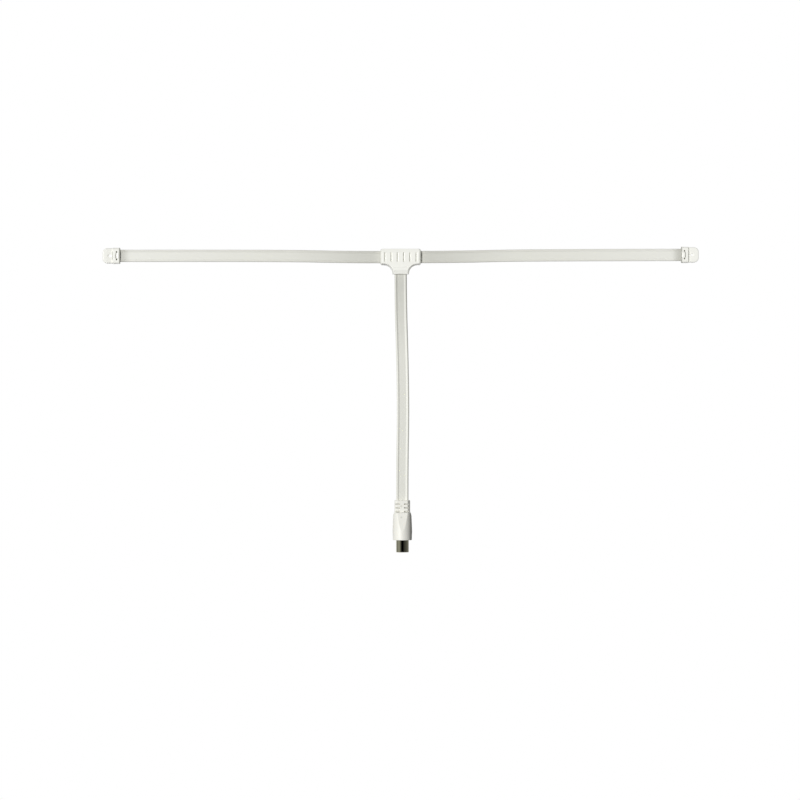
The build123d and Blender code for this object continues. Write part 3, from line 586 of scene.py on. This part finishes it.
def seen_or_mirrored(tree):
    """One for what the camera sees, in a mirror or through glass too, and nought for what only lights."""
    path = add_node(tree, "ShaderNodeLightPath")
    either = add_node(tree, "ShaderNodeMath", {0: path.outputs["Is Camera Ray"],
                                               1: path.outputs["Is Glossy Ray"]}, operation="MAXIMUM")
    any_of = add_node(tree, "ShaderNodeMath", {0: either.outputs["Value"],
                                               1: path.outputs["Is Transmission Ray"]},
                      operation="MAXIMUM")
    return any_of.outputs["Value"]


world = bpy.data.worlds.new("white_room")
bpy.context.scene.world = world
world.use_nodes = True
tree = world.node_tree
level = add_node(tree, "ShaderNodeMapRange", {"Value": seen_or_mirrored(tree), "To Min": AMBIENT,
                                              "To Max": 1.0})
tree.links.new(level.outputs["Result"], tree.nodes["Background"].inputs["Strength"])
tree.nodes["Background"].inputs["Color"].default_value = PURE_WHITE

# Pale floor: matt white board, nearly as white to the camera as the surroundings
FLOOR_SIZE = 20.0
FLOOR_DROP = -2.6
FLOOR_WHITENESS = 0.97
bpy.ops.mesh.primitive_plane_add(size=FLOOR_SIZE, location=(0, 0, FLOOR_DROP))
floor = bpy.context.object
floor.name = "floor"
pale, tree, shader, place = new_material("pale_floor", Roughness=0.8)
shader.inputs["Base Color"].default_value = linear("#F4F4F2")
glow = add_node(tree, "ShaderNodeEmission", {"Color": PURE_WHITE, "Strength": 1.0})
share = add_node(tree, "ShaderNodeMath", {0: seen_or_mirrored(tree), 1: FLOOR_WHITENESS},
                 operation="MULTIPLY")
mixed = add_node(tree, "ShaderNodeMixShader", {0: share.outputs["Value"], 1: shader.outputs["BSDF"],
                                               2: glow.outputs["Emission"]})
tree.links.new(mixed.outputs["Shader"], tree.nodes["Material Output"].inputs["Surface"])
pale.cycles.emission_sampling = "NONE"
finish_with(floor, pale)
floor.visible_diffuse = False

# Lamps: bearings are from the camera's side towards the right, and lifts are from the level, in degrees
STAGE_CENTRE = Vector((0, 0, -0.11))
LAMP_ANGLE = math.radians(17)
LAMP_DISTANCE = 3
off_the_nickel = bpy.data.collections.new("off_the_nickel")
off_the_nickel.objects.link(shell)
off_the_nickel.collection_objects[0].light_linking.link_state = "EXCLUDE"
on_the_mouldings = bpy.data.collections.new("on_the_mouldings")
for piece in mouldings:
    on_the_mouldings.objects.link(piece)
for name, bearing, lift, energy, receivers in (
        ("key", -29, 4, 2.9, off_the_nickel),
        ("back", 160, 15, 2.8, off_the_nickel),
        ("right_card", 80, 0, 1.4, on_the_mouldings),
        ("low_card", -110, -50, 2.7, on_the_mouldings)):
    lamp_data = bpy.data.lights.new(name, "SUN")
    lamp_data.angle = LAMP_ANGLE
    lamp_data.energy = energy
    lamp = bpy.data.objects.new(name, lamp_data)
    turn = math.radians(bearing)
    rise = math.radians(lift)
    towards = Vector((math.sin(turn) * math.cos(rise), -math.cos(turn) * math.cos(rise), math.sin(rise)))
    lamp.location = STAGE_CENTRE + towards * LAMP_DISTANCE
    lamp.rotation_euler = towards.to_track_quat("Z", "Y").to_euler()
    lamp.light_linking.receiver_collection = receivers
    lamp.visible_glossy = name == "key"
    bpy.context.collection.objects.link(lamp)

# Studio wall: dim and slightly warm, brighter at the sides than in front, and open at the back. Only the
# gloss of the pieces shows it
WALL_RADIUS = 2.0
WALL_HEIGHT = 3.0
WALL_SIDES = 96
WALL_END = (-1.52, 1.3, 0)
WALL_END_FACING = (-0.295, 0.955, 0)
WALL_WARMTH = 0.88
WALL_TONES = ((-113, 0.28), (-85, 0.34), (-63, 0.49), (-42, 0.25), (-24, 0.05), (-13, 0.0), (13, 0.0),
              (31, 0.05), (60, 0.1), (95, 0.16), (128, 0.3))
bpy.ops.mesh.primitive_cylinder_add(vertices=WALL_SIDES, radius=WALL_RADIUS, depth=WALL_HEIGHT,
                                    end_fill_type="NOTHING", location=STAGE_CENTRE)
wall = bpy.context.object
wall.name = "studio_wall"
bpy.ops.object.transform_apply(location=True)
bpy.ops.object.mode_set(mode="EDIT")
bpy.ops.mesh.select_all(action="SELECT")
bpy.ops.mesh.bisect(plane_co=WALL_END, plane_no=WALL_END_FACING, clear_outer=True)
bpy.ops.object.mode_set(mode="OBJECT")
dim, tree, shader, place = new_material("dim_studio_wall")
fronted = add_node(tree, "ShaderNodeMapping", {"Vector": place, "Scale": (1.0, -1.0, 1.0)})
split = add_node(tree, "ShaderNodeSeparateXYZ", {0: fronted.outputs["Vector"]})
bearing = add_node(tree, "ShaderNodeMath", {0: split.outputs["X"], 1: split.outputs["Y"]},
                   operation="ARCTAN2")
turned = add_node(tree, "ShaderNodeMapRange", {"Value": bearing.outputs["Value"], "From Min": -math.pi,
                                               "From Max": math.pi})
tones = add_node(tree, "ShaderNodeValToRGB", {"Fac": turned.outputs["Result"]})
steps = tones.color_ramp.elements
while len(steps) < len(WALL_TONES):
    steps.new(0.5)
for step, (degrees, tone) in zip(steps, WALL_TONES):
    step.position = degrees / 360 + 0.5
    step.color = (tone, tone, tone * WALL_WARMTH, 1.0)
lit = add_node(tree, "ShaderNodeEmission", {"Color": tones.outputs["Color"]})
tree.links.new(lit.outputs["Emission"], tree.nodes["Material Output"].inputs["Surface"])
dim.cycles.emission_sampling = "NONE"
finish_with(wall, dim)
wall.visible_camera = False
wall.visible_diffuse = False
wall.visible_shadow = False
wall.visible_transmission = False

# Camera
# It looks straight at the wall with a long lens, and its frame is 640 mm wide at the dipole. It is turned
# by a tenth of a degree, so that the dipole's right end is a little higher in the picture.
FRAME_WIDTH = 0.640
SENSOR = 36.0
LENS = 135.0
VIEW_CENTRE = (-0.7 * MM, -115.7 * MM)
ROLL = 0.0986
camera_data = bpy.data.cameras.new("camera")
camera_data.sensor_width = SENSOR
camera_data.lens = LENS
camera = bpy.data.objects.new("camera", camera_data)
camera.location = (VIEW_CENTRE[0], RIBBON_DEPTH - FRAME_WIDTH * LENS / SENSOR, VIEW_CENTRE[1])
camera.rotation_euler = (math.radians(90), math.radians(ROLL), 0)
bpy.context.collection.objects.link(camera)
bpy.context.scene.camera = camera
bpy.context.scene.view_settings.view_transform = "Standard"
